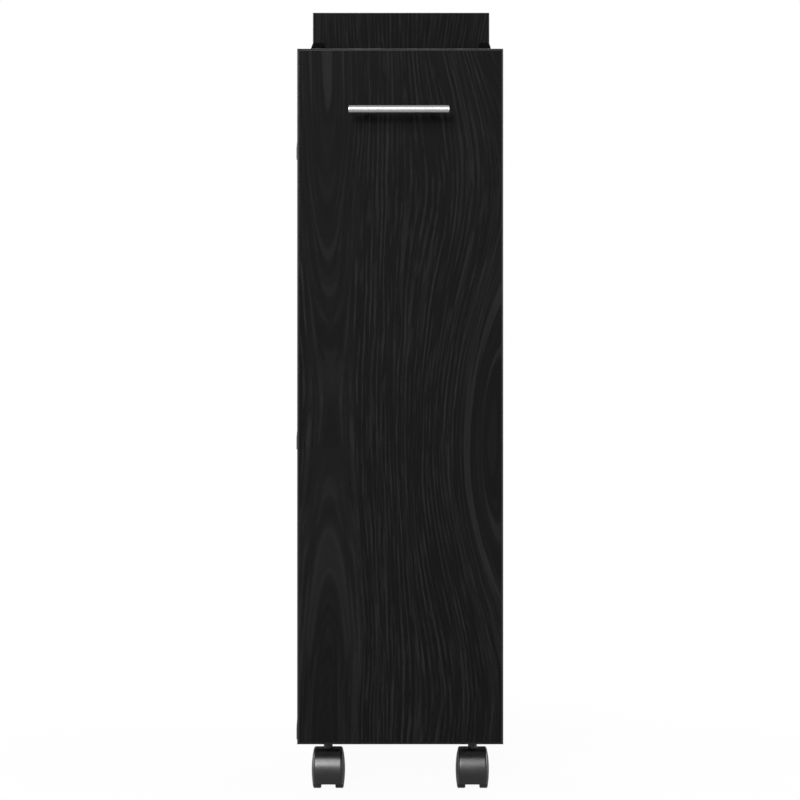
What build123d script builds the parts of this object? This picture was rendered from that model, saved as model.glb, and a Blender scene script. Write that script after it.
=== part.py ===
"""Slim rolling pantry cart: two tall panels, three trays with swept side guards, four twin-wheel casters.

Millimetres. +Z is up and the floor is z = 0. The front faces -Y. Left (-X) and right (+X) are as seen
from the front. x = 0 is the middle of the front panel and y = 0 the middle of the whole depth,
handle included.
"""

from build123d import *
from math import cos, radians, sin
import os

os.makedirs("parts", exist_ok=True)

# ---------------------------------------------------------------- driving sizes
# Panels
front_width = 200.0
front_height = 675.0
front_thickness = 15.0
back_thickness = 15.0
back_rise = 98.0             # back panel's top above the front panel's top
body_depth = 450.0           # front panel's face to back panel's rear face
left_reveal = 1.2            # left guards and back panel stand out past the front panel by this
front_edge_round = 2.0       # front panel's face edges
board_edge_round = 0.8       # every other board edge that shows

# Trays
level_names = ("lower", "middle", "upper")
shelf_thickness = 12.0
shelf_lift = 3.0             # lower shelf's underside above the panels' lower edges
top_tray_depth = 94.0        # upper shelf's surface below the front panel's top
guard_thickness = 12.0
guard_rear_height = 169.5
guard_front_slope = 0.55     # rise over run of the guard's top edge at its front end
guard_rear_slope = 0.205     # and where it meets the back panel

# Handle
handle_length = 96.5
handle_diameter = 8.0
handle_reach = 26.0          # bar's axis in front of the panel
handle_drop = 61.7           # bar's axis below the panel's top
handle_offset = -1.2         # bar's middle from the panel's middle
handle_end_ease = 0.4
post_spacing = 64.0
post_diameter = 6.0
handle_screw_diameter = 4.0
handle_screw_grip = 10.0     # thread inside the post
handle_screw_head_width = 8.0
handle_screw_head_height = 2.5

# Casters
caster_side_inset = 29.0     # swivel axis inside the front panel's edge
caster_end_inset = 38.0      # swivel axis inside the front and rear faces
plate_size = 38.0
plate_thickness = 2.0
plate_corner = 4.0
plate_hole_margin = 6.0      # screw holes inside the plate's edges
wheel_radius = 18.5
wheel_inner = 7.05           # tread's inner edge from the caster's middle
wheel_outer = 14.8           # tread's outer edge
wheel_dome = 1.6             # how far the side bulges past the tread's edge
wheel_tread_round = 1.0
wheel_hub_radius = 4.6
wheel_hub_step = 0.4         # hub stands this far inside the tread's inner edge
wheel_room = 1.6             # between the tread and the hood
caster_trail = 7.0           # axle behind the swivel axis
hood_wall = 2.2
hood_side_inset = 0.4        # hood's side inside the tread's outer edge
hood_edge_round = 2.4
hood_face_flatness = 1.48    # radius of the hood's front face over the hood's own radius
hood_face_lean = 30.0        # degrees the front face curves back before the top corner
hood_skirt_height = 6.0      # hood's front lower edge above the floor
hood_rear_rise = 8.5         # hood's rear edge above the axle
caster_neck = 9.2            # bare stem between the hood's top and the plate
stem_diameter = 8.8
stem_depth = 15.0            # stem inside the hood's socket
stem_tip_ease = 0.8
socket_wall = 1.8
groove_depth = 0.9
ring_width = 1.5
ring_proud = 0.5             # ring stands out of the stem by this
ring_split = 2.0
ring_lift = 3.0              # ring's middle above the stem's lower end
axle_diameter = 4.0
axle_end_inset = 2.5         # axle's end inside the wheel's crown

# Fasteners
cam_plate_gap = 4.0          # between a cam and the caster plate beside it
cam_setback = 24.0           # cam's axis from the shelf's front end
cam_diameter = 12.0
cam_height = 9.5
cam_slot_width = 1.5
cam_slot_length = 8.0
cam_bolt_diameter = 5.0
cam_bolt_neck = 3.2
cam_bolt_head_length = 3.0
cam_bolt_depth = 10.0        # thread in the front panel
dowel_diameter = 6.0
dowel_grip = 14.0            # dowel inside a shelf or guard
dowel_skin = 3.0             # board left in front of a dowel's end
dowel_edge = 14.0            # shelf dowels inside the shelf's side edges
screw_diameter = 4.0
screw_length = 38.0
screw_head_width = 8.0
screw_head_height = 3.0
screw_recess_width = 3.2
screw_recess_depth = 2.4
cap_diameter = 12.0
cap_height = 1.0
cap_round = 0.7
cap_peg_diameter = 3.0
cap_peg_length = 2.0
guard_screw_count = 3
guard_screw_margin = 75.0    # first and last guard screws from the guard's ends
back_screw_gap = 8.0         # back panel's shelf screws beside the caster plates' screws
guard_screw_low = 36.0       # back panel's lower guard screws above the guard's lower edge
guard_screw_top = 37.5       # and the upper ones below the guard's rear top
plate_screw_diameter = 3.5
plate_screw_length = 10.0
plate_screw_head_width = 6.4
plate_screw_head_height = 1.6
driver_slot = 1.0            # width and depth of screwdriver slots

# Fits
running_fit = 0.05           # radial, stem in socket and wheel on axle
hole_fit = 0.05              # radial, fasteners in their holes
hole_end = 0.5               # a blind hole is this much deeper than what sits in it
hub_gap = 0.3                # between a wheel's hub and the web beside it
ring_room = 0.3              # around the ring in its recess
cam_room = 0.3               # around the bolt's head in the cam

# ---------------------------------------------------------------- worked-out places
wheel_crown = wheel_outer + wheel_dome
axle_height = wheel_radius
axle_half = wheel_crown - axle_end_inset
hub_face = wheel_inner - wheel_hub_step
web_half = hub_face - hub_gap
hood_inner_radius = wheel_radius + wheel_room
hood_radius = hood_inner_radius + hood_wall
hood_half = wheel_outer - hood_side_inset
hood_top = axle_height + hood_radius
stem_bottom = hood_top - stem_depth
groove_diameter = stem_diameter - 2 * groove_depth
ring_diameter = stem_diameter + 2 * ring_proud

# The panels hang from the casters: their lower edges stand this far above the floor.
plate_bottom = hood_top + caster_neck
panel_clearance = plate_bottom + plate_thickness - shelf_lift
front_top = panel_clearance + front_height

handle_front = handle_reach + handle_diameter / 2
front_face_y = -(body_depth + handle_front) / 2 + handle_front
front_rear_y = front_face_y + front_thickness
back_rear_y = front_face_y + body_depth
back_face_y = back_rear_y - back_thickness
shelf_length = back_face_y - front_rear_y
body_left = -front_width / 2 - left_reveal
body_right = front_width / 2
shelf_left = body_left + guard_thickness
shelf_right = body_right - guard_thickness
guard_middles = (body_left + guard_thickness / 2, body_right - guard_thickness / 2)
guard_front_height = shelf_thickness

lowest_shelf = panel_clearance + shelf_lift
highest_shelf = front_top - top_tray_depth - shelf_thickness
level_pitch = (highest_shelf - lowest_shelf) / (len(level_names) - 1)
shelf_bottoms = {name: lowest_shelf + i * level_pitch for i, name in enumerate(level_names)}
shelf_middles = [bottom + shelf_thickness / 2 for bottom in shelf_bottoms.values()]

handle_z = front_top - handle_drop
handle_y = front_face_y - handle_reach
post_xs = (handle_offset - post_spacing / 2, handle_offset + post_spacing / 2)

caster_x = front_width / 2 - caster_side_inset
caster_places = {
    "front_left": (-caster_x, front_face_y + caster_end_inset),
    "front_right": (caster_x, front_face_y + caster_end_inset),
    "rear_left": (-caster_x, back_rear_y - caster_end_inset),
    "rear_right": (caster_x, back_rear_y - caster_end_inset),
}
plate_hole_offset = plate_size / 2 - plate_hole_margin
plate_hole_offsets = [(sx * plate_hole_offset, sy * plate_hole_offset) for sx in (-1, 1) for sy in (-1, 1)]
plate_screw_places = [
    (x + dx, y + dy) for x, y in caster_places.values() for dx, dy in plate_hole_offsets
]

cam_x = caster_x - plate_size / 2 - cam_diameter / 2 - cam_plate_gap
dowel_x = shelf_right - dowel_edge
back_screw_x = caster_x - plate_hole_offset - back_screw_gap
cam_places = [(sx * cam_x, z) for z in shelf_middles for sx in (-1, 1)]
shelf_dowel_places = [(sx * dowel_x, z) for z in shelf_middles for sx in (-1, 1)]
guard_dowel_places = [
    (x, bottom + guard_front_height / 2) for bottom in shelf_bottoms.values() for x in guard_middles
]
guard_screw_step = (shelf_length - 2 * guard_screw_margin) / (guard_screw_count - 1)
guard_screw_ys = [front_rear_y + guard_screw_margin + i * guard_screw_step for i in range(guard_screw_count)]
back_screw_places = [(sx * back_screw_x, z) for z in shelf_middles for sx in (-1, 1)] + [
    (x, bottom + height)
    for bottom in shelf_bottoms.values()
    for x in guard_middles
    for height in (guard_screw_low, guard_rear_height - guard_screw_top)
]

TO_RIGHT, TO_LEFT = (1, 0, 0), (-1, 0, 0)
TO_REAR, TO_FRONT = (0, 1, 0), (0, -1, 0)
UP, DOWN = (0, 0, 1), (0, 0, -1)


# ---------------------------------------------------------------- shape helpers
def block(x0, x1, y0, y1, z0, z1):
    """A box between two corners."""
    return Pos((x0 + x1) / 2, (y0 + y1) / 2, (z0 + z1) / 2) * Box(x1 - x0, y1 - y0, z1 - z0)


def rod(start, direction, length, diameter):
    """A round bar from a start point along a direction."""
    plane = Plane(origin=start, z_dir=direction)
    return plane * Cylinder(diameter / 2, length, align=(Align.CENTER, Align.CENTER, Align.MIN))


def cone_rod(start, direction, length, start_diameter, end_diameter):
    """A tapered round bar from a start point along a direction."""
    plane = Plane(origin=start, z_dir=direction)
    radii = (start_diameter / 2, end_diameter / 2)
    return plane * Cone(*radii, length, align=(Align.CENTER, Align.CENTER, Align.MIN))


def wider(diameter, fit=hole_fit):
    """The diameter of a hole that takes this shaft."""
    return diameter + 2 * fit


def far_rim(shape, direction):
    """The circular edge that lies furthest along a direction."""
    circles = shape.edges().filter_by(GeomType.CIRCLE)
    return circles.sort_by(lambda edge: edge.center().dot(Vector(direction)))[-1]


def separate(shapes):
    """One group of separate solids."""
    return Compound(children=[solid for shape in shapes for solid in shape.solids()])


def save(node, shape):
    export_step(shape, f"parts/{node}.step")


# ---------------------------------------------------------------- where the fasteners sit
def guard_screw_seats():
    """Head point and direction of every screw through a guard into a shelf's edge."""
    left = [((body_left, y, z), TO_RIGHT) for z in shelf_middles for y in guard_screw_ys]
    right = [((body_right, y, z), TO_LEFT) for z in shelf_middles for y in guard_screw_ys]
    return left + right


def back_screw_seats():
    """Head point and direction of every screw through the back panel."""
    return [((x, back_rear_y, z), TO_FRONT) for x, z in back_screw_places]


def dowel_seats():
    """Start point and length of every dowel. Each lies along +Y, part in a panel, part in a board."""
    front_hold, back_hold = front_thickness - dowel_skin, back_thickness - dowel_skin
    front_places = shelf_dowel_places + guard_dowel_places
    front = [((x, front_rear_y - front_hold, z), front_hold + dowel_grip) for x, z in front_places]
    back = [((x, back_face_y - dowel_grip, z), back_hold + dowel_grip) for x, z in shelf_dowel_places]
    return front + back


# ---------------------------------------------------------------- fasteners and their holes
def panel_screw(head_point, direction):
    """Countersunk panel screw whose head is flush with the board at head_point."""
    screw = rod(head_point, direction, screw_length, screw_diameter)
    screw += cone_rod(head_point, direction, screw_head_height, screw_head_width, screw_diameter)
    return screw - rod(head_point, direction, screw_recess_depth, screw_recess_width)


def panel_screw_hole(head_point, direction):
    """The hole and countersink for a panel screw."""
    cut = rod(head_point, direction, screw_length + hole_end, wider(screw_diameter))
    widths = (wider(screw_head_width), wider(screw_diameter))
    return cut + cone_rod(head_point, direction, screw_head_height, *widths)


def screw_cap(head_point, direction):
    """Round cap over a screw's head, with a peg in the head's recess."""
    outward = tuple(-d for d in direction)
    disc = rod(head_point, outward, cap_height, cap_diameter)
    disc = fillet(far_rim(disc, outward), cap_round)
    return disc + rod(head_point, direction, cap_peg_length, cap_peg_diameter)


def dowel_holes():
    """Cutters for the dowels' holes, a little longer at both ends."""
    return [
        rod((x, y - hole_end, z), TO_REAR, length + 2 * hole_end, wider(dowel_diameter))
        for (x, y, z), length in dowel_seats()
    ]


def cam_bolt(x, z):
    """Cam bolt: thread in the front panel, shank in the shelf, neck and head inside the cam."""
    start = (x, front_rear_y - cam_bolt_depth, z)
    reach = cam_bolt_depth + cam_setback
    bolt = rod(start, TO_REAR, reach - cam_diameter / 2, cam_bolt_diameter)
    bolt += rod(start, TO_REAR, reach, cam_bolt_neck)
    head_start = (x, front_rear_y + cam_setback - cam_bolt_head_length, z)
    return bolt + rod(head_start, TO_REAR, cam_bolt_head_length, cam_bolt_diameter)


def cam_disc(x, z):
    """Cam disc in the shelf's underside, hollowed where the bolt's head turns, with a driver slot."""
    base = z - shelf_thickness / 2
    y = front_rear_y + cam_setback
    disc = rod((x, y, base), UP, cam_height, cam_diameter)
    room = cam_bolt_diameter / 2 + cam_room
    pocket = block(x - room, x + room, y - cam_diameter, y + cam_room, z - room, z + room)
    half_length, half_width = cam_slot_length / 2, cam_slot_width / 2
    slot = block(x - half_length, x + half_length, y - half_width, y + half_width, base, base + driver_slot)
    return disc - pocket - slot


def cam_holes():
    """Cutters for every cam bolt and cam disc."""
    bolts = [
        rod((x, front_rear_y - cam_bolt_depth - hole_end, z), TO_REAR,
            cam_bolt_depth + hole_end + cam_setback, wider(cam_bolt_diameter))
        for x, z in cam_places
    ]
    discs = [
        rod((x, front_rear_y + cam_setback, z - shelf_thickness / 2), UP,
            cam_height + hole_fit, wider(cam_diameter))
        for x, z in cam_places
    ]
    return bolts + discs


def handle_screw(x):
    """Pan-head machine screw from inside the front panel into a handle post."""
    head = rod((x, front_rear_y, handle_z), TO_REAR, handle_screw_head_height, handle_screw_head_width)
    head = fillet(far_rim(head, TO_REAR), handle_screw_head_height / 2)
    head_top = front_rear_y + handle_screw_head_height
    half_length, half_width = handle_screw_head_width / 3, driver_slot / 2
    head -= block(x - half_length, x + half_length, head_top - driver_slot, head_top,
                  handle_z - half_width, handle_z + half_width)
    length = front_thickness + handle_screw_grip
    return head + rod((x, front_rear_y, handle_z), TO_FRONT, length, handle_screw_diameter)


def plate_screw(x, y):
    """Short cross-slotted screw from below through a caster plate into the lower shelf."""
    head = rod((x, y, plate_bottom), DOWN, plate_screw_head_height, plate_screw_head_width)
    head = fillet(far_rim(head, DOWN), plate_screw_head_height / 2)
    head_face = plate_bottom - plate_screw_head_height
    long_half, narrow_half = plate_screw_head_width / 3, driver_slot / 2
    for half_x, half_y in ((long_half, narrow_half), (narrow_half, long_half)):
        head -= block(x - half_x, x + half_x, y - half_y, y + half_y, head_face, head_face + driver_slot)
    return head + rod((x, y, plate_bottom), UP, plate_screw_length, plate_screw_diameter)


# ---------------------------------------------------------------- boards
def front_panel():
    """Front panel with rounded edges, drilled for the handle, the cam bolts and the dowels."""
    panel = block(-front_width / 2, front_width / 2, front_face_y, front_rear_y, panel_clearance, front_top)
    panel = fillet(panel.faces().sort_by(Axis.Y)[0].edges(), front_edge_round)
    panel = fillet(panel.faces().sort_by(Axis.Y)[-1].edges(), board_edge_round)
    screw_holes = [
        rod((x, front_face_y, handle_z), TO_REAR, front_thickness, wider(handle_screw_diameter))
        for x in post_xs
    ]
    return panel - screw_holes - cam_holes() - dowel_holes()


def back_panel():
    """Back panel, flush with the guards on both sides, with rounded edges at its rear face and top."""
    top = front_top + back_rise
    panel = block(body_left, body_right, back_face_y, back_rear_y, panel_clearance, top)
    rear_edges = panel.faces().sort_by(Axis.Y)[-1].edges()
    front_top_edge = panel.faces().sort_by(Axis.Z)[-1].edges().sort_by(Axis.Y)[0]
    panel = fillet(rear_edges + [front_top_edge], board_edge_round)
    return panel - [panel_screw_hole(*seat) for seat in back_screw_seats()] - dowel_holes()


def shelf(level):
    """Shelf board of one level, drilled for its cams, dowels and screws."""
    bottom = shelf_bottoms[level]
    board = block(shelf_left, shelf_right, front_rear_y, back_face_y, bottom, bottom + shelf_thickness)
    board = board - cam_holes() - dowel_holes()
    board -= [panel_screw_hole(*seat) for seat in guard_screw_seats() + back_screw_seats()]
    if level == level_names[0]:
        board -= [
            rod((x, y, plate_bottom), UP, plate_screw_length + hole_end, wider(plate_screw_diameter))
            for x, y in plate_screw_places
        ]
    return board


def guard(level, left_face):
    """Side guard: low at the front, its top edge sweeping up in a gentle arc to the back panel."""
    bottom = shelf_bottoms[level]
    third = shelf_length / 3
    front_y, front_z = front_rear_y, bottom + guard_front_height
    rear_y, rear_z = back_face_y, bottom + guard_rear_height
    sweep_edge = Bezier(
        (front_y, front_z),
        (front_y + third, front_z + third * guard_front_slope),
        (rear_y - third, rear_z - third * guard_rear_slope),
        (rear_y, rear_z),
    )
    straight_edges = Polyline((rear_y, rear_z), (rear_y, bottom), (front_y, bottom), (front_y, front_z))
    side_plane = Plane(origin=(left_face, 0, 0), x_dir=TO_REAR, z_dir=TO_RIGHT)
    board = extrude(side_plane * make_face(Curve() + [sweep_edge, straight_edges]), guard_thickness)
    board = fillet(board.edges().filter_by(GeomType.BEZIER), board_edge_round)
    board -= [panel_screw_hole(*seat) for seat in guard_screw_seats() + back_screw_seats()]
    return board - dowel_holes()


# ---------------------------------------------------------------- handle
def handle_bar():
    """Straight round bar with eased ends, drilled halfway for each post."""
    bar = rod((handle_offset - handle_length / 2, handle_y, handle_z), TO_RIGHT, handle_length, handle_diameter)
    bar = chamfer(bar.edges().filter_by(GeomType.CIRCLE), handle_end_ease)
    return bar - [rod((x, handle_y, handle_z), TO_REAR, handle_diameter, post_diameter) for x in post_xs]


def handle_post(x):
    """Post from the panel's face to the bar's axis, tapped for the handle screw."""
    foot = (x, front_face_y, handle_z)
    post = rod(foot, TO_FRONT, handle_reach, post_diameter)
    return post - rod(foot, TO_FRONT, handle_screw_grip + hole_end, wider(handle_screw_diameter))


# ---------------------------------------------------------------- casters
def caster_plate(x, y):
    """Square steel plate under the lower shelf, with four screw holes and the stem's hole."""
    half = plate_size / 2
    plate = block(x - half, x + half, y - half, y + half, plate_bottom, lowest_shelf)
    plate = fillet(plate.edges().filter_by(Axis.Z), plate_corner)
    plate -= [
        rod((x + dx, y + dy, plate_bottom), UP, plate_thickness, wider(plate_screw_diameter))
        for dx, dy in plate_hole_offsets
    ]
    return plate - rod((x, y, plate_bottom), UP, plate_thickness, stem_diameter)


def caster_stem(x, y):
    """Swivel pin, riveted in the plate, with a groove for the retaining ring."""
    stem = rod((x, y, stem_bottom), UP, lowest_shelf - stem_bottom, stem_diameter)
    stem = chamfer(far_rim(stem, DOWN), stem_tip_ease)
    groove_width = wider(ring_width)
    groove_start = (x, y, stem_bottom + ring_lift - groove_width / 2)
    band = rod(groove_start, UP, groove_width, 2 * stem_diameter)
    return stem - (band - rod(groove_start, UP, groove_width, groove_diameter))


def retaining_ring(x, y):
    """Split spring ring in the stem's groove."""
    low = stem_bottom + ring_lift - ring_width / 2
    ring = rod((x, y, low), UP, ring_width, ring_diameter)
    ring -= rod((x, y, low), UP, ring_width, wider(groove_diameter))
    half_split = ring_split / 2
    return ring - block(x - half_split, x + half_split, y, y + ring_diameter, low, low + ring_width)


def hood_outline():
    """Hood's side outline about the axle: a flattened front face, a rounded corner to a short level
    top, then the plain circle round the rear and underneath."""
    lean = radians(hood_face_lean)
    face_radius = hood_face_flatness * hood_radius
    face_middle = face_radius - hood_radius
    corner_radius = (hood_radius - face_radius * sin(lean)) / (1 - sin(lean))
    corner_y = face_middle - (face_radius - corner_radius) * cos(lean)
    corner_z = hood_radius - corner_radius

    def on_arc(middle_y, middle_z, radius, degrees):
        return middle_y - radius * cos(radians(degrees)), middle_z + radius * sin(radians(degrees))

    front, rear_low, top = (-hood_radius, 0), on_arc(0, 0, hood_radius, 225), (0, hood_radius)
    face_end, top_start = on_arc(face_middle, 0, face_radius, hood_face_lean), (corner_y, hood_radius)
    face = ThreePointArc(front, on_arc(face_middle, 0, face_radius, hood_face_lean / 2), face_end)
    corner_tilt = (90 + hood_face_lean) / 2
    corner = ThreePointArc(face_end, on_arc(corner_y, corner_z, corner_radius, corner_tilt), top_start)
    round_rear = ThreePointArc(top, rear_low, front)
    return make_face(Curve() + [face, corner, Line(top_start, top), round_rear])


def caster_hood(x, y):
    """Hood over the wheels' front and top, with the web between them, the stem's socket and the axle's bore."""
    axle_y = y + caster_trail
    far = 2 * hood_radius
    side, middle = (x - hood_half, axle_y, axle_height), (x - web_half, axle_y, axle_height)
    under_skirt = block(x - far, x + far, axle_y - far, axle_y + far, -far, hood_skirt_height)
    rear_mouth = block(x - far, x + far, axle_y, axle_y + far, -far, axle_height + hood_rear_rise)
    web_foot = block(x - far, x + far, axle_y + axle_diameter, axle_y + far, -far, axle_height - axle_diameter)

    form = extrude(Plane.YZ * hood_outline(), hood_half, both=True)
    form = Pos(x, axle_y, axle_height) * form
    shell = fillet(form.faces().filter_by(Axis.X).edges(), hood_edge_round)
    shell -= rod(side, TO_RIGHT, 2 * hood_half, 2 * hood_inner_radius)
    web = rod(middle, TO_RIGHT, 2 * web_half, 2 * hood_inner_radius + hood_wall)
    socket = rod((x, y, axle_height), UP, hood_radius, stem_diameter + 2 * socket_wall) & form
    hood = (shell - rear_mouth) + (web - web_foot) + socket - under_skirt

    socket_bottom = stem_bottom - hole_end
    hood -= rod((x, y, socket_bottom), UP, far, wider(stem_diameter, running_fit))
    recess_width = wider(ring_width, ring_room)
    recess_start = (x, y, stem_bottom + ring_lift - recess_width / 2)
    hood -= rod(recess_start, UP, recess_width, wider(ring_diameter, ring_room))
    return hood - rod(middle, TO_RIGHT, 2 * web_half, wider(axle_diameter))


def caster_axle(x, y):
    """Steel pin through the web and both wheels."""
    return rod((x - axle_half, y + caster_trail, axle_height), TO_RIGHT, 2 * axle_half, axle_diameter)


def caster_wheel(x, y, side):
    """One wheel of a pair: flat tread, softly domed outer face, hub and a blind bore for the axle."""
    dome_radius = (wheel_radius**2 + wheel_dome**2) / (2 * wheel_dome)
    half_height = wheel_radius / 2
    half_bulge = wheel_crown - dome_radius + (dome_radius**2 - half_height**2) ** 0.5
    flat_edges = Polyline(
        (wheel_crown, 0), (hub_face, 0), (hub_face, wheel_hub_radius), (wheel_inner, wheel_hub_radius),
        (wheel_inner, wheel_radius), (wheel_outer, wheel_radius),
    )
    dome_edge = ThreePointArc((wheel_outer, wheel_radius), (half_bulge, half_height), (wheel_crown, 0))
    wheel = revolve(make_face(Curve() + [flat_edges, dome_edge]), Axis.X)
    tread_edges = wheel.edges().filter_by(GeomType.CIRCLE).sort_by(lambda edge: edge.radius)[-2:]
    wheel = fillet(tread_edges, wheel_tread_round)
    bore_length = axle_half + hole_end - hub_face
    wheel -= rod((hub_face, 0, 0), TO_RIGHT, bore_length, wider(axle_diameter, running_fit))
    if side == "left":
        wheel = Rot(0, 0, 180) * wheel
    return Pos(x, y + caster_trail, axle_height) * wheel


# ---------------------------------------------------------------- write every node
save("front_panel", front_panel())
save("back_panel", back_panel())
for level in level_names:
    save(f"{level}_shelf", shelf(level))
    save(f"{level}_left_guard", guard(level, body_left))
    save(f"{level}_right_guard", guard(level, shelf_right))

save("handle_bar", handle_bar())
save("handle_posts", separate(handle_post(x) for x in post_xs))
save("handle_screws", separate(handle_screw(x) for x in post_xs))

save("cam_bolts", separate(cam_bolt(x, z) for x, z in cam_places))
save("cam_discs", separate(cam_disc(x, z) for x, z in cam_places))
dowels = [rod(start, TO_REAR, length, dowel_diameter) for start, length in dowel_seats()]
save("wood_dowels", separate(dowels))
save("guard_screws", separate(panel_screw(*seat) for seat in guard_screw_seats()))
save("guard_screw_caps", separate(screw_cap(*seat) for seat in guard_screw_seats()))
save("back_panel_screws", separate(panel_screw(*seat) for seat in back_screw_seats()))
save("back_panel_screw_caps", separate(screw_cap(*seat) for seat in back_screw_seats()))
save("caster_plate_screws", separate(plate_screw(x, y) for x, y in plate_screw_places))

for place, (x, y) in caster_places.items():
    save(f"{place}_caster_plate", caster_plate(x, y))
    save(f"{place}_caster_stem", caster_stem(x, y))
    save(f"{place}_caster_ring", retaining_ring(x, y))
    save(f"{place}_caster_hood", caster_hood(x, y))
    save(f"{place}_caster_axle", caster_axle(x, y))
    for side in ("left", "right"):
        save(f"{place}_{side}_wheel", caster_wheel(x, y, side))
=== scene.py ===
"""Slim rolling pantry cart: finishes, turned wheels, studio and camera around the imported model."""

import math

import bmesh
import bpy
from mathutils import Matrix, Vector


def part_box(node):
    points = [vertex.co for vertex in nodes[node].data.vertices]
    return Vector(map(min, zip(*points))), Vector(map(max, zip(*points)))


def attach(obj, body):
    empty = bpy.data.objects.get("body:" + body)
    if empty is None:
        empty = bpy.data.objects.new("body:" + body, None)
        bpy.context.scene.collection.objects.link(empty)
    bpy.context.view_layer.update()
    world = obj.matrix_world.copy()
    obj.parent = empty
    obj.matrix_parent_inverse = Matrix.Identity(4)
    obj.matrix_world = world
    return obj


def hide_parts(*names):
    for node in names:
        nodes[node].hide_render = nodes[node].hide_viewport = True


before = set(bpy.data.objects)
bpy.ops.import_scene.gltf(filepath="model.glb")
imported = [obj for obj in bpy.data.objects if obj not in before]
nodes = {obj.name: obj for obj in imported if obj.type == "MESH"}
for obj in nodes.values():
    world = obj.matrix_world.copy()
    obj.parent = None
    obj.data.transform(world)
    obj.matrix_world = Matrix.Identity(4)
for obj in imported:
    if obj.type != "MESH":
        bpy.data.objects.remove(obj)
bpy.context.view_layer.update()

MM = 0.001
PLACES = ("front_left", "front_right", "rear_left", "rear_right")
SIDES = ("left", "right")
LEVELS = ("lower", "middle", "upper")
X, Y, Z = 0, 1, 2
WHITE = (1.0, 1.0, 1.0, 1.0)


# ---------------------------------------------------------------- shader sums
class Value:
    """A socket that takes part in Python sums; each sum adds its Math node."""

    def __init__(self, finish, socket):
        self.finish, self.socket = finish, socket

    def sum(self, operation, *terms):
        return self.finish.add("Math", {"operation": operation}, dict(enumerate(terms)))

    def __add__(self, other):
        return self.sum("ADD", self, other)

    def __radd__(self, other):
        return self.sum("ADD", other, self)

    def __sub__(self, other):
        return self.sum("SUBTRACT", self, other)

    def __rsub__(self, other):
        return self.sum("SUBTRACT", other, self)

    def __mul__(self, other):
        return self.sum("MULTIPLY", self, other)

    def __rmul__(self, other):
        return self.sum("MULTIPLY", other, self)

    def __abs__(self):
        return self.sum("ABSOLUTE", self)

    def root(self):
        return self.sum("SQRT", self)

    def cosine(self):
        return self.sum("COSINE", self)

    def least(self, other):
        return self.sum("MINIMUM", self, other)

    def most(self, other):
        return self.sum("MAXIMUM", self, other)

    def above(self, limit):
        return self.sum("GREATER_THAN", self, limit)

    def rise(self, low, high, to_low=0.0, to_high=1.0):
        """Smooth step from to_low at low to to_high at high."""
        return self.finish.add(
            "MapRange",
            {"interpolation_type": "SMOOTHSTEP"},
            {"Value": self, "From Min": low, "From Max": high, "To Min": to_low, "To Max": to_high},
        )


class Finish:
    """The nodes of a material or of the world; add() makes any node from its type, settings and inputs."""

    def __init__(self, owner, ending="OutputMaterial"):
        self.owner, self.ending = owner, ending
        owner.use_nodes = True
        self.tree = owner.node_tree
        self.tree.nodes.clear()

    def add(self, kind, settings=None, inputs=None, out=0):
        node = self.tree.nodes.new("ShaderNode" + kind)
        for key, value in (settings or {}).items():
            setattr(node, key, value)
        for key, value in (inputs or {}).items():
            socket = node.inputs[key]
            if isinstance(value, Value):
                self.tree.links.new(value.socket, socket)
            else:
                socket.default_value = value
        return Value(self, node.outputs[out])

    def places(self, centre=(0, 0, 0)):
        """Object coordinates, measured from centre."""
        here = self.add("TexCoord", out="Object")
        return self.add("Mapping", {"vector_type": "TEXTURE"}, {"Vector": here, "Location": centre})

    def split(self, vector):
        node = self.tree.nodes.new("ShaderNodeSeparateXYZ")
        self.tree.links.new(vector.socket, node.inputs[0])
        return [Value(self, out) for out in node.outputs]

    def join(self, x, y, z):
        return self.add("CombineXYZ", None, {0: x, 1: y, 2: z})

    def stretched(self, vector, factors):
        return self.add("VectorMath", {"operation": "MULTIPLY"}, {0: vector, 1: factors})

    def noise(self, vector, scale=1.0, detail=2.0, roughness=0.5, swirl=0.0):
        inputs = {"Vector": vector, "Scale": scale, "Detail": detail}
        inputs.update({"Roughness": roughness, "Distortion": swirl})
        return self.add("TexNoise", {"noise_dimensions": "3D"}, inputs)

    def mix(self, factor, first, second):
        """Colour mix; plain colours are given as three numbers."""
        node = self.tree.nodes.new("ShaderNodeMix")
        node.data_type = "RGBA"
        for socket, value in ((node.inputs[0], factor), (node.inputs[6], first), (node.inputs[7], second)):
            if isinstance(value, Value):
                self.tree.links.new(value.socket, socket)
            elif socket.type == "RGBA":
                socket.default_value = (*value, 1.0)
            else:
                socket.default_value = value
        return Value(self, node.outputs[2])

    def bump(self, height, distance, strength):
        return self.add("Bump", None, {"Height": height, "Distance": distance, "Strength": strength})

    def rays(self, *kinds):
        """1 for light paths of any of these kinds."""
        seen = self.add("LightPath", out=kinds[0])
        for kind in kinds[1:]:
            seen = seen.most(self.add("LightPath", out=kind))
        return seen

    def surface(self, **inputs):
        """Principled shader to the output; spaces in socket names are written as underscores."""
        named = {key.replace("_", " "): value for key, value in inputs.items()}
        self.output(self.add("BsdfPrincipled", None, named))
        return self.owner

    def output(self, shader):
        node = self.tree.nodes.new("ShaderNode" + self.ending)
        self.tree.links.new(shader.socket, node.inputs["Surface"])


def new_finish(name):
    return Finish(bpy.data.materials.new(name))


def grey(level):
    return (level, level, level)


def shaded(colour, factor):
    return tuple(factor * c for c in colour)


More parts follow.
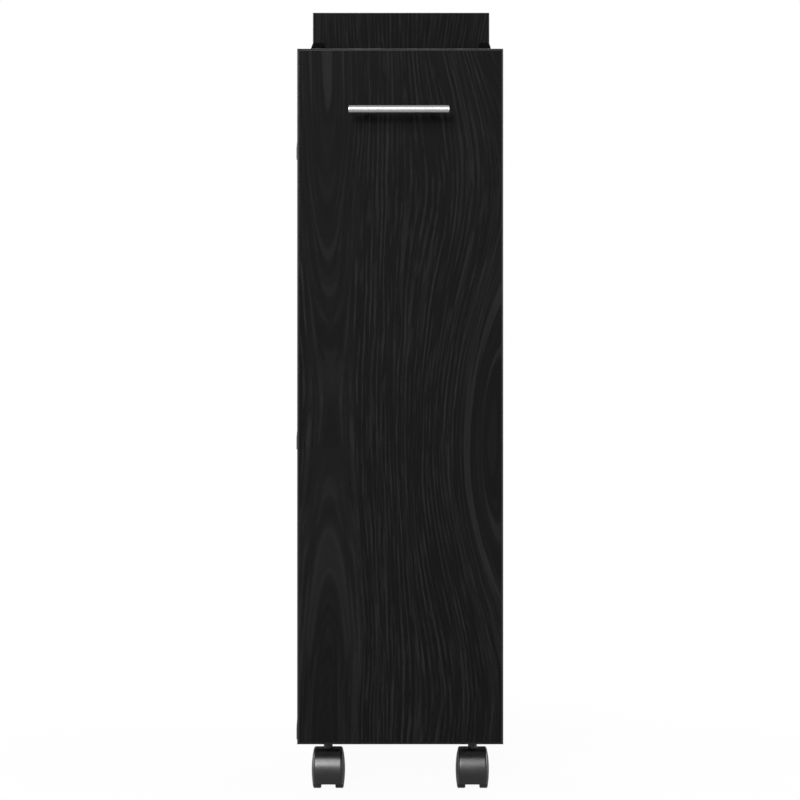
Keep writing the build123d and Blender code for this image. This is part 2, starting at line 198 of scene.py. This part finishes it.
# ---------------------------------------------------------------- wood-print laminate
LAMINATE_GROUND = 0.0060
LAMINATE_STREAK = 0.0148
LAMINATE_PORE = grey(0.0030)
# Edge strip colour: the edge band's own colour, lightened as a painted highlight along the rounded edges.
LAMINATE_STRIP_AND_HIGHLIGHT = grey(0.012)
LAMINATE_SEAM = grey(0.003)
LAMINATE_SHEEN = 0.012
LAMINATE_BITE = 0.00006         # depth of the embossed pores, in metres
ROUNDING_COAT = 0.36            # the rubbed rounding along a board's edges is glossier
COAT_ROUGHNESS = 0.28
RING_WAVE = 1620.0              # radians of the ring wave for each metre of figure
RING_WANDER = 11.0              # radians by which the rings wander

# Noise layers of the print: scale for a metre across the figure and for a metre along the board,
# then the layer's step of the seed and its detail.
LAYERS = {
    "fine": (560.0, 30.0, 3.0, 0.6),
    "long": (480.0, 6.0, 11.0, 0.0),
    "ring": (190.0, 2.5, 17.0, 1.0),
    "broad": (70.0, 5.0, 19.0, 2.0),
    "ticks": (1400.0, 95.0, 29.0, 1.0),
    "wander": (40.0, 6.0, 23.0, 1.0),
    "gate": (260.0, 19.0, 37.0, 1.0),
}


def wood_figure(finish, run, width, hearts, seed):
    """The figure across the board, and how quiet it is. The rings close round two hearts, each given as
    (place across, depth, swing of depth, length of the swing, its place along, sway across), in metres."""
    # Slow wander of the fibres.
    drift = finish.noise(finish.join(run * 5.0, width * 9.0, seed), detail=1.0)
    shiver = finish.noise(finish.join(run * 26.0, width * 30.0, seed + 7.0), detail=1.0)
    place = width + (drift - 0.5) * 0.010 + (shiver - 0.5) * 0.0016

    # Distance from each heart, and the two figures joined in the middle of the board.
    reach = []
    for heart_place, heart_depth, swing, length, centre, sway in hearts:
        turn = ((run - centre) * (2 * math.pi / length)).cosine()
        below = turn * swing + heart_depth + (drift - 0.5) * 0.006
        aside = place - (turn * sway + heart_place)
        reach.append((aside * aside + below * below).root())
    first = hearts[0][0]
    span = hearts[1][0] - first
    join = place.rise(first + 0.3 * span, first + 0.7 * span)
    figure = reach[0] + join * ((span - reach[1]) - reach[0])
    calm = (reach[0].least(reach[1] * 0.85)).rise(0.013, 0.045)
    return figure, calm


def laminate(board, along, across, band, hearts, seed, tone=1.0, sheen=LAMINATE_SHEEN):
    """Black wood-print board with a strip of width band along its edges."""
    low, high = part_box(board)
    middle, half = (low + high) / 2, (high - low) / 2
    through = 3 - along - across
    finish = new_finish(board + "_laminate")
    axes = finish.split(finish.places(tuple(middle)))
    run, width, depth = axes[along], axes[across], axes[through]

    # The strip on the board's edges has its streaks along the strip.
    end_room = abs(run) - (half[along] - band)
    side_room = abs(width) - (half[across] - band)
    edge_room = end_room.most(side_room)
    on_end = end_room.above(0.0)
    seam = abs(edge_room).rise(0.00005, 0.00016, 1.0, 0.0)
    strip = edge_room.rise(0.0, 0.0001)
    rounding = strip * (abs(depth) - (half[through] - 1.1 * band)).rise(0.0, 0.0002)
    rounding = rounding * end_room.rise(0.72 * band, band, 1.0, 0.2)
    run_here = run + on_end * (width - run)
    width_here = width + depth + on_end * (run - width)

    # Streaks follow the figure: fine and close in the quiet middle, few and broad round the hearts.
    figure, calm = wood_figure(finish, run_here, width_here, hearts, seed)
    layer = {
        name: finish.noise(finish.join(figure * over, run_here * up, seed + step), detail=detail)
        for name, (over, up, step, detail) in LAYERS.items()
    }
    wave = (figure * RING_WAVE + layer["wander"] * RING_WANDER).cosine()
    grain = wave.rise(0.25, 0.95) * layer["gate"].rise(0.40, 0.62) * (0.07 + 0.60 * calm)
    streaks = layer["fine"].rise(0.56, 0.72) * (0.12 + 0.36 * calm)
    lines = layer["long"].rise(0.58, 0.72) * (0.17 + 0.2 * calm)
    rings = layer["ring"].rise(0.57, 0.68) * (0.85 - 0.77 * calm)
    bands = layer["broad"].rise(0.50, 0.72) * (0.6 - 0.56 * calm)
    light = (grain + streaks + lines + rings + bands).least(1.0)
    troughs = (0.0 - wave).rise(0.5, 1.0) * layer["gate"].rise(0.36, 0.6) * (0.05 + 0.3 * calm)
    pores = (layer["ticks"].rise(0.6, 0.74) * (0.15 + 0.45 * calm)).most(troughs)

    wood = finish.mix(light, grey(LAMINATE_GROUND * tone), grey(LAMINATE_STREAK * tone))
    wood = finish.mix(pores, wood, LAMINATE_PORE)
    # The edge strip is mixed lighter than the faces: partly the band's colour, partly a painted highlight.
    wood = finish.mix(strip * 0.25, wood, LAMINATE_STRIP_AND_HIGHLIGHT)
    wood = finish.mix(seam * 0.7, wood, LAMINATE_SEAM)
    return finish.surface(
        Base_Color=wood,
        Roughness=0.43 + light * 0.09 - pores * 0.06 + seam * 0.2,
        Specular_IOR_Level=sheen,
        Coat_Weight=rounding * ROUNDING_COAT,
        Coat_Roughness=COAT_ROUGHNESS,
        Normal=finish.bump(light * 0.6 - pores - seam * 2.0, LAMINATE_BITE, 0.6),
    )


# ---------------------------------------------------------------- metal, plastic and dowel finishes
def brushed(name, colour, centre, brush, roughness, bite):
    """Metal with fine lines along the axis whose brush number is small."""
    finish = new_finish(name)
    here = finish.places(tuple(centre))
    lines = finish.noise(finish.stretched(here, brush), detail=3.0, roughness=0.6)
    rub = finish.noise(here, scale=140.0, detail=3.0)
    return finish.surface(
        Base_Color=finish.mix(lines.rise(0.3, 0.7), shaded(colour, 0.92), colour),
        Metallic=1.0,
        Roughness=roughness + (lines - 0.5) * 0.08 + (rub - 0.5) * 0.05,
        Normal=finish.bump(lines, bite, 0.4),
    )


def zinc(name, colour=(0.60, 0.615, 0.63)):
    """Zinc: a fine crystalline cloud and faintly yellowed patches."""
    finish = new_finish(name)
    here = finish.places()
    cloud = finish.noise(here, scale=520.0, detail=4.0, roughness=0.62)
    patch = finish.noise(here, scale=70.0, detail=2.0)
    yellowed = tuple(c * f for c, f in zip(colour, (1.0, 0.975, 0.92)))
    tint = finish.mix(patch.rise(0.42, 0.62), colour, yellowed)
    return finish.surface(
        Base_Color=finish.mix(cloud.rise(0.45, 0.7) * 0.5, tint, shaded(colour, 0.8)),
        Metallic=1.0,
        Roughness=0.26 + cloud * 0.16,
        Normal=finish.bump(cloud, 0.00002, 0.35),
    )


def moulded(name, colour, roughness, sheen, grain, bite):
    """Moulded plastic: spark-eroded grain, faint flow shading and dust-fine roughness changes."""
    finish = new_finish(name)
    here = finish.places()
    pits = finish.noise(here, scale=grain, detail=3.0, roughness=0.55)
    flow = finish.noise(here, scale=90.0, detail=2.0, swirl=0.6)
    return finish.surface(
        Base_Color=finish.mix(flow.rise(0.35, 0.7), colour, shaded(colour, 1.25)),
        Roughness=roughness + (flow - 0.5) * 0.1 + (pits - 0.5) * 0.06,
        Specular_IOR_Level=sheen,
        Normal=finish.bump(pits, bite, 0.35),
    )


def beech(name):
    """Turned beech dowel: long fibres with short dark flecks."""
    finish = new_finish(name)
    here = finish.places()
    fibre = finish.noise(finish.stretched(here, (1600.0, 90.0, 1600.0)), detail=3.0)
    fleck = finish.noise(finish.stretched(here, (2600.0, 420.0, 2600.0)), detail=1.0)
    wood = finish.mix(fibre.rise(0.3, 0.7), (0.50, 0.33, 0.19), (0.66, 0.47, 0.29))
    return finish.surface(
        Base_Color=finish.mix(fleck.rise(0.62, 0.72) * 0.6, wood, (0.30, 0.17, 0.09)),
        Roughness=0.55 + fibre * 0.2,
        Normal=finish.bump(fibre, 0.00008, 0.5),
    )


# ---------------------------------------------------------------- finishes on the pieces
def wear(finish_made, *names):
    """Gives carried-over pieces their finish."""
    for name in names:
        slots = nodes[name].data.materials
        slots.clear()
        slots.append(finish_made)


def finish_boards():
    """Grain runs up the panels and along the shelves and guards."""
    panel_band, board_band = 2.0 * MM, 0.8 * MM
    hearts = [(-0.077, 0.017, 0.0135, 0.74, -0.004, 0.002), (0.096, 0.017, 0.012, 0.50, 0.205, 0.014)]
    wear(laminate("front_panel", Z, X, panel_band, hearts, 2.3), "front_panel")
    hearts = [(-0.118, 0.020, 0.012, 0.66, 0.12, 0.010), (0.128, 0.018, 0.012, 0.58, -0.1, 0.012)]
    wear(laminate("back_panel", Z, X, board_band, hearts, 41.7, tone=1.12), "back_panel")
    for step, level in enumerate(LEVELS):
        shelf = f"{level}_shelf"
        hearts = [
            (-0.06, 0.018, 0.012, 0.55, 0.06 * step, 0.006),
            (0.085, 0.016, 0.011, 0.48, -0.05 * step, 0.008),
        ]
        wear(laminate(shelf, Y, X, board_band, hearts, 5.1 + 9.0 * step), shelf)
        for side, heart, side_seed in (("left", -0.07, 0.0), ("right", 0.05, 31.0)):
            guard = f"{level}_{side}_guard"
            hearts = [
                (heart - 0.03, 0.018, 0.012, 0.5, 0.04 * step, 0.005),
                (heart + 0.11, 0.017, 0.012, 0.6, -0.07 * step, 0.009),
            ]
            guard_seed = 13.9 + 6.0 * step + side_seed
            wear(laminate(guard, Y, Z, board_band, hearts, guard_seed, sheen=0.0), guard)


def finish_handle():
    nickel = grey(0.345)
    low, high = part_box("handle_bar")
    bar_brush, post_brush = (60.0, 2600.0, 2600.0), (2200.0, 160.0, 2200.0)
    wear(brushed("satin_nickel_bar", nickel, (low + high) / 2, bar_brush, 0.34, 0.000015), "handle_bar")
    wear(brushed("satin_nickel_posts", nickel, (0, 0, 0), post_brush, 0.30, 0.00003), "handle_posts")


def finish_fasteners():
    screws = ("handle_screws", "cam_bolts", "guard_screws", "back_panel_screws", "caster_plate_screws")
    caster_pins = [f"{place}_caster_{part}" for place in PLACES for part in ("ring", "axle")]
    wear(zinc("zinc_plating"), *screws, *caster_pins)
    wear(zinc("die_cast_zinc", (0.46, 0.465, 0.47)), "cam_discs")
    wear(beech("beech_dowel"), "wood_dowels")
    cap_black = moulded("matt_black_cap", grey(0.013), 0.55, 0.2, 3800.0, 0.00004)
    wear(cap_black, "guard_screw_caps", "back_panel_screw_caps")


def finish_casters():
    black_steel = moulded("blacked_steel", grey(0.012), 0.38, 0.3, 5200.0, 0.00001)
    hood_black = moulded("hood_black_plastic", grey(0.005), 0.29, 0.47, 4200.0, 0.000008)
    wear(zinc("caster_plate_zinc"), *(f"{place}_caster_plate" for place in PLACES))
    wear(black_steel, *(f"{place}_caster_stem" for place in PLACES))
    wear(hood_black, *(f"{place}_caster_hood" for place in PLACES))


# ---------------------------------------------------------------- wheels, in millimetres
BORE_RADIUS = 2.05
BORE_REST = 2.0                 # wall left outside the blind bore
BORE_EASE = 0.3
HUB_RADIUS = 4.6
HUB_PROUD = 0.4                 # how far the hub stands out of the inner face
HUB_EASE = 0.2
RECESS_START = 8.2              # radius where the inner face's ring-shaped recess begins
RECESS_MARGIN = 3.4             # from the recess to the tread
RECESS_DEPTH = 0.6
DOME_RISE = 1.6
TREAD_EASE = 1.0
EASE_STEPS = 6
PARTING_WIDTH = 0.5             # moulding line round the tread
PARTING_FLOOR = 0.2
PARTING_DEPTH = 0.12
GROOVE_LIP = 0.3                # half widths of the outer face's grooves
GROOVE_FLOOR = 0.2
TREAD_GROOVE = 5.4              # from the tread to the groove inside it
CAP_GROOVE = 5.3                # radius of the groove round the centre cap
SPIN_STEPS = 96
SHARP_ANGLE = 32.0


def arc(centre, radius, start, end, steps):
    """Points on an arc in (x, r); angles in degrees from +x towards +r."""
    turns = [math.radians(start + (end - start) * step / steps) for step in range(steps + 1)]
    return [(centre[0] + radius * math.cos(turn), centre[1] + radius * math.sin(turn)) for turn in turns]


def wheel_outline(radius, width):
    """Half section: x runs outwards from the hub's face and r from the axle. The outer face is a
    shallow dome with a groove inside the tread, a groove round the centre cap and a dimple."""
    rim = width - DOME_RISE
    dome_radius = (radius**2 + DOME_RISE**2) / (2 * DOME_RISE)

    def face(r, sunk=0.0):
        return (width - dome_radius + math.sqrt(dome_radius**2 - r**2) - sunk, r)

    def groove(r, depth, outer_lip, inner_lip):
        floor = [face(r + GROOVE_FLOOR, depth), face(r - GROOVE_FLOOR, depth)]
        return [face(r + GROOVE_LIP, outer_lip), *floor, face(r - GROOVE_LIP, inner_lip)]

    # Bore, hub and inner face.
    outline = [(width - BORE_REST, 0.0), (width - BORE_REST, BORE_RADIUS)]
    outline += [(BORE_EASE, BORE_RADIUS), (0.0, BORE_RADIUS + BORE_EASE)]
    outline += [(0.0, HUB_RADIUS - HUB_EASE), (HUB_EASE, HUB_RADIUS), (HUB_PROUD, HUB_RADIUS)]
    recess_floor, recess_end = HUB_PROUD + RECESS_DEPTH, radius - RECESS_MARGIN
    outline += [(HUB_PROUD, RECESS_START), (recess_floor, RECESS_START + RECESS_DEPTH)]
    outline += [(recess_floor, recess_end - RECESS_DEPTH), (HUB_PROUD, recess_end)]

    # Tread with its moulding line.
    outline += arc((HUB_PROUD + TREAD_EASE, radius - TREAD_EASE), TREAD_EASE, 180.0, 90.0, EASE_STEPS)
    middle, line_floor = (HUB_PROUD + rim) / 2, radius - PARTING_DEPTH
    outline += [(middle - PARTING_WIDTH / 2, radius), (middle - PARTING_FLOOR / 2, line_floor)]
    outline += [(middle + PARTING_FLOOR / 2, line_floor), (middle + PARTING_WIDTH / 2, radius)]
    outline += arc((rim - TREAD_EASE, radius - TREAD_EASE), TREAD_EASE, 90.0, 0.0, EASE_STEPS)

    # Outer face, from the tread in to the dimple.
    tread = radius - TREAD_GROOVE
    outline += [face(r) for r in (radius - 2.2, radius - 3.6, tread + 0.65)]
    outline += groove(tread, 0.45, 0.12, 0.12)
    outline += [face(r) for r in (tread - 0.65, tread - 2.4, tread - 4.4, 6.6, 5.9)]
    outline += groove(CAP_GROOVE, 0.5, 0.12, 0.1)
    outline += [face(4.7), face(3.2), face(2.2), face(1.6, 0.1), face(1.0, 0.3), face(0.0, 0.4)]
    return outline


def placed_mesh(mesh, name, material):
    """A scene object from a bmesh, which is freed."""
    data = bpy.data.meshes.new(name)
    mesh.to_mesh(data)
    mesh.free()
    data.materials.append(material)
    made = bpy.data.objects.new(name, data)
    bpy.context.scene.collection.objects.link(made)
    return made


def turned_wheel(place, side, plastic):
    """Wheel turned about its axle from the half section, in the CAD wheel's box."""
    node = f"{place}_{side}_wheel"
    low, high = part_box(node)
    outwards = -1.0 if side == "left" else 1.0
    hub_face = high.x if side == "left" else low.x
    middle = (low + high) / 2
    outline = wheel_outline((high.z - low.z) / 2 / MM, (high.x - low.x) / MM)
    mesh = bmesh.new()
    points = [
        mesh.verts.new((hub_face + outwards * x * MM, middle.y, middle.z + r * MM)) for x, r in outline
    ]
    section = points + [mesh.edges.new(pair) for pair in zip(points, points[1:])]
    round_axle = {"cent": middle, "axis": (1.0, 0.0, 0.0), "angle": 2 * math.pi}
    bmesh.ops.spin(mesh, geom=section, steps=SPIN_STEPS, use_merge=True, **round_axle)
    bmesh.ops.remove_doubles(mesh, verts=mesh.verts[:], dist=0.00001)
    bmesh.ops.recalc_face_normals(mesh, faces=mesh.faces[:])
    for face in mesh.faces:
        face.smooth = True
    for edge in mesh.edges:
        edge.smooth = edge.calc_face_angle(0.0) < math.radians(SHARP_ANGLE)
    wheel = placed_mesh(mesh, node + "_turned", plastic)
    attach(wheel, f"{place}_{side}_roller")
    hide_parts(node)


# ---------------------------------------------------------------- floor, light and camera
FLOOR_HALF = 7.0
FLOOR_PAINT = (0.82, 0.82, 0.82, 1.0)
WORLD_FILL = 0.20
CART_MIDDLE = Vector((0.0, 0.0, 0.42))
LAMP_DISTANCE = 5.0

# Name, azimuth (0 is straight in front, positive to the right), elevation, width, height and watts.
SOFTBOXES = (
    ("key", -11.0, 23.0, 1.75, 1.9, 128.0),
    ("key_core", -11.0, 14.0, 0.8, 0.8, 96.0),
    ("back_fill", 180.0, 20.0, 2.4, 2.4, 190.0),
    ("side_fill", -90.0, 12.0, 2.0, 2.4, 150.0),
    ("side_fill", 90.0, 12.0, 2.0, 2.4, 150.0),
)

CAMERA_SENSOR = 36.0
CAMERA_LENS = 114.4
CAMERA_SHIFT = (-0.0121, -0.02125)
CAMERA_ASIDE = 0.0092
CAMERA_AWAY = 2.465             # in front of the front panel
CAMERA_HEIGHT = 0.3996


def studio_floor():
    """Pale floor that fades to white away from the cart; near the cart, mirrors see its own shade."""
    finish = new_finish("pale_floor")
    x, y, _ = finish.split(finish.places())
    away = (x * x + y * y).root()
    looked_at = finish.rays("Is Camera Ray") * away.rise(0.35, 0.75, 0.955, 1.0)
    reflected = finish.rays("Is Glossy Ray", "Is Transmission Ray") * away.rise(0.5, 1.3, 0.2, 1.0)
    paint = finish.add("BsdfDiffuse", None, {"Color": FLOOR_PAINT})
    glow = finish.add("Emission", None, {"Color": WHITE, "Strength": 1.0})
    finish.output(finish.add("MixShader", None, {0: looked_at.most(reflected), 1: paint, 2: glow}))
    mesh = bmesh.new()
    bmesh.ops.create_grid(mesh, x_segments=1, y_segments=1, size=FLOOR_HALF)
    placed_mesh(mesh, "floor", finish.owner)


def studio_world():
    world = bpy.data.worlds.new("studio")
    bpy.context.scene.world = world
    finish = Finish(world, "OutputWorld")
    seen = finish.rays("Is Camera Ray", "Is Glossy Ray", "Is Transmission Ray")
    fill = finish.add("Background", None, {"Color": WHITE, "Strength": WORLD_FILL})
    white = finish.add("Background", None, {"Color": WHITE, "Strength": 1.0})
    finish.output(finish.add("MixShader", None, {0: seen, 1: fill, 2: white}))


def softbox(name, azimuth, elevation, width, height, watts):
    """Rectangular light turned to the cart's middle."""
    turn, lift = math.radians(azimuth), math.radians(elevation)
    away = Vector((math.sin(turn) * math.cos(lift), -math.cos(turn) * math.cos(lift), math.sin(lift)))
    data = bpy.data.lights.new(name, "AREA")
    data.shape, data.size, data.size_y, data.energy = "RECTANGLE", width, height, watts
    lamp = bpy.data.objects.new(name, data)
    bpy.context.scene.collection.objects.link(lamp)
    lamp.location = CART_MIDDLE + away * LAMP_DISTANCE
    lamp.rotation_euler = (-away).to_track_quat("-Z", "Y").to_euler()


def front_camera():
    data = bpy.data.cameras.new("camera")
    data.sensor_width = CAMERA_SENSOR
    data.lens = CAMERA_LENS
    data.shift_x, data.shift_y = CAMERA_SHIFT
    camera = bpy.data.objects.new("camera", data)
    bpy.context.scene.collection.objects.link(camera)
    camera.location = (CAMERA_ASIDE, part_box("front_panel")[0].y - CAMERA_AWAY, CAMERA_HEIGHT)
    camera.rotation_euler = (math.radians(90.0), 0.0, 0.0)
    bpy.context.scene.camera = camera


# ---------------------------------------------------------------- the cart and its studio
finish_boards()
finish_handle()
finish_fasteners()
finish_casters()
wheel_black = moulded("wheel_black_nylon", grey(0.006), 0.42, 0.18, 3600.0, 0.000015)
for place in PLACES:
    for side in SIDES:
        turned_wheel(place, side, wheel_black)

front_camera()
bpy.context.scene.view_settings.view_transform = "Standard"
studio_world()
studio_floor()
for setup in SOFTBOXES:
    softbox(*setup)
